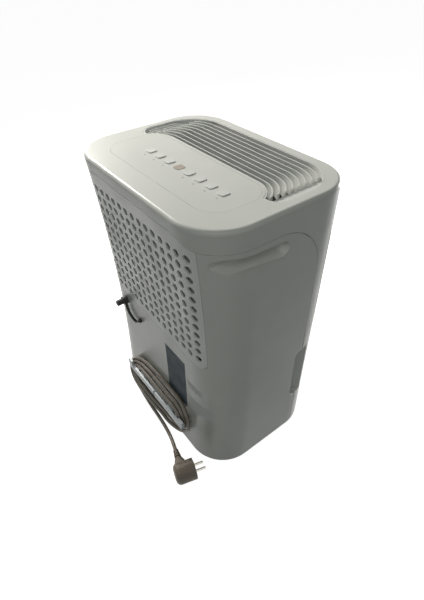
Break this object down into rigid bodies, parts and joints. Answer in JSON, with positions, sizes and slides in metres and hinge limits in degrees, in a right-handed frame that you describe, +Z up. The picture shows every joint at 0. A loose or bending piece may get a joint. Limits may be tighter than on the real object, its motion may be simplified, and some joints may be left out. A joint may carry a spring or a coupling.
{
  "type": "dehumidifier",
  "caption": "Free-standing compressor dehumidifier with a perforated filter panel at the back, a bladed outlet and keys in the top, a pull-out water tank and a wound mains cord.",
  "frame": {"origin": "on the floor, under the middle of the housing", "axes": "+Z up, -Y out of the front where the water tank comes out, +Y out of the back with the air inlet and the cord"},
  "size_m": [0.356, 0.3177, 0.5012],
  "materials": {
    "white_gloss": "glossy moulded ABS",
    "white_satin": "satin moulded ABS",
    "grey_plastic": "plain moulded",
    "dark_plastic": "plain moulded",
    "board_green": "lacquered board",
    "window_beige": "tinted lens",
    "light_pipe": "frosted light pipe",
    "mesh": "woven filter mesh",
    "rubber": "moulded",
    "steel": "zinc plated",
    "motor_steel": "pressed steel",
    "clear": "clear moulded",
    "tank_plastic": "translucent moulded",
    "float_foam": "foam",
    "fins": "bare fins",
    "copper": "bare copper",
    "black_paint": "black lacquer",
    "aluminium": "drawn can",
    "cord_pvc": "dull PVC sheath",
    "plug_pvc": "dull moulded PVC",
    "brass_pin": "nickel-plated"
  },
  "bodies": {
    "housing": {"rear_shell": "white_gloss", "front_shell": "white_gloss", "front_fascia": "white_gloss", "outlet_grille": "white_satin", "control_panel": "white_gloss", "control_board": "board_green", "board_screws": "steel", "key_switches": "dark_plastic", "display_window": "window_beige", "indicator_lights": "light_pipe", "base_pan": "grey_plastic", "rubber_feet": "rubber", "base_screws": "steel", "chassis": "grey_plastic", "float_switch": "dark_plastic", "evaporator": "fins", "evaporator_bends": "copper", "condenser": "fins", "condenser_bends": "copper", "drip_tray": "grey_plastic", "compressor": "black_paint", "compressor_grommets": "rubber", "accumulator": "black_paint", "discharge_pipe": "copper", "suction_pipe": "copper", "liquid_pipe": "copper", "filter_drier": "copper", "capillary_tube": "copper", "run_capacitor": "aluminium", "fan_scroll": "grey_plastic", "fan_motor": "motor_steel", "motor_screws": "steel", "drain_outlet": "white_satin", "left_cord_hook": "white_satin", "right_cord_hook": "white_satin", "strain_relief": "cord_pvc", "cord_hank": "cord_pvc", "cord_tail": "cord_pvc", "plug_body": "plug_pvc", "plug_pins": "brass_pin"},
    "filter_panel": {"filter_grille": "white_satin", "filter_frame": "grey_plastic", "filter_mesh": "mesh"},
    "tank": {"tank_front": "white_gloss", "level_window": "clear", "water_tank": "tank_plastic", "tank_lid": "white_satin"},
    "float": {"tank_float": "float_foam"},
    "fan": {"fan_wheel": "dark_plastic", "fan_shaft": "steel"},
    "drain_stopper": {"drain_plug": "rubber"},
    "button_1": {"key_1": "white_satin"},
    "button_2": {"key_2": "white_satin"},
    "button_3": {"key_3": "white_satin"},
    "button_4": {"key_4": "white_satin"},
    "button_5": {"key_5": "white_satin"},
    "button_6": {"key_6": "white_satin"},
    "button_7": {"key_7": "white_satin"}
  },
  "joints": [
    {"name": "tank_slide", "type": "slide", "parent": "housing", "child": "tank", "axis": [0, -1, 0], "range_m": [0, 0.2]},
    {"name": "float_pivot", "type": "hinge", "parent": "tank", "child": "float", "pos_m": [-0.1, -0.028, 0.226], "axis": [-1, 0, 0], "range_deg": [0, 15]},
    {"name": "fan_spin", "type": "hinge", "parent": "housing", "child": "fan", "pos_m": [0, -0.041, 0.358], "axis": [0, 1, 0], "continuous": true},
    {"name": "filter_tilt", "type": "hinge", "parent": "housing", "child": "filter_panel", "pos_m": [0, 0.1145, 0.2471], "axis": [-1, 0, 0], "range_deg": [0, 25]},
    {"name": "drain_plug_pull", "type": "slide", "parent": "housing", "child": "drain_stopper", "axis": [0, 1, 0], "range_m": [0, 0.03]},
    {"name": "button_1_press", "type": "slide", "parent": "housing", "child": "button_1", "axis": [0, 0, -1], "range_m": [0, 0.0008], "stiffness_N_per_m": 1200, "springref_m": -0.0005},
    {"name": "button_2_press", "type": "slide", "parent": "housing", "child": "button_2", "axis": [0, 0, -1], "range_m": [0, 0.0008], "stiffness_N_per_m": 1200, "springref_m": -0.0005},
    {"name": "button_3_press", "type": "slide", "parent": "housing", "child": "button_3", "axis": [0, 0, -1], "range_m": [0, 0.0008], "stiffness_N_per_m": 1200, "springref_m": -0.0005},
    {"name": "button_4_press", "type": "slide", "parent": "housing", "child": "button_4", "axis": [0, 0, -1], "range_m": [0, 0.0008], "stiffness_N_per_m": 1200, "springref_m": -0.0005},
    {"name": "button_5_press", "type": "slide", "parent": "housing", "child": "button_5", "axis": [0, 0, -1], "range_m": [0, 0.0008], "stiffness_N_per_m": 1200, "springref_m": -0.0005},
    {"name": "button_6_press", "type": "slide", "parent": "housing", "child": "button_6", "axis": [0, 0, -1], "range_m": [0, 0.0008], "stiffness_N_per_m": 1200, "springref_m": -0.0005},
    {"name": "button_7_press", "type": "slide", "parent": "housing", "child": "button_7", "axis": [0, 0, -1], "range_m": [0, 0.0008], "stiffness_N_per_m": 1200, "springref_m": -0.0005}
  ]
}
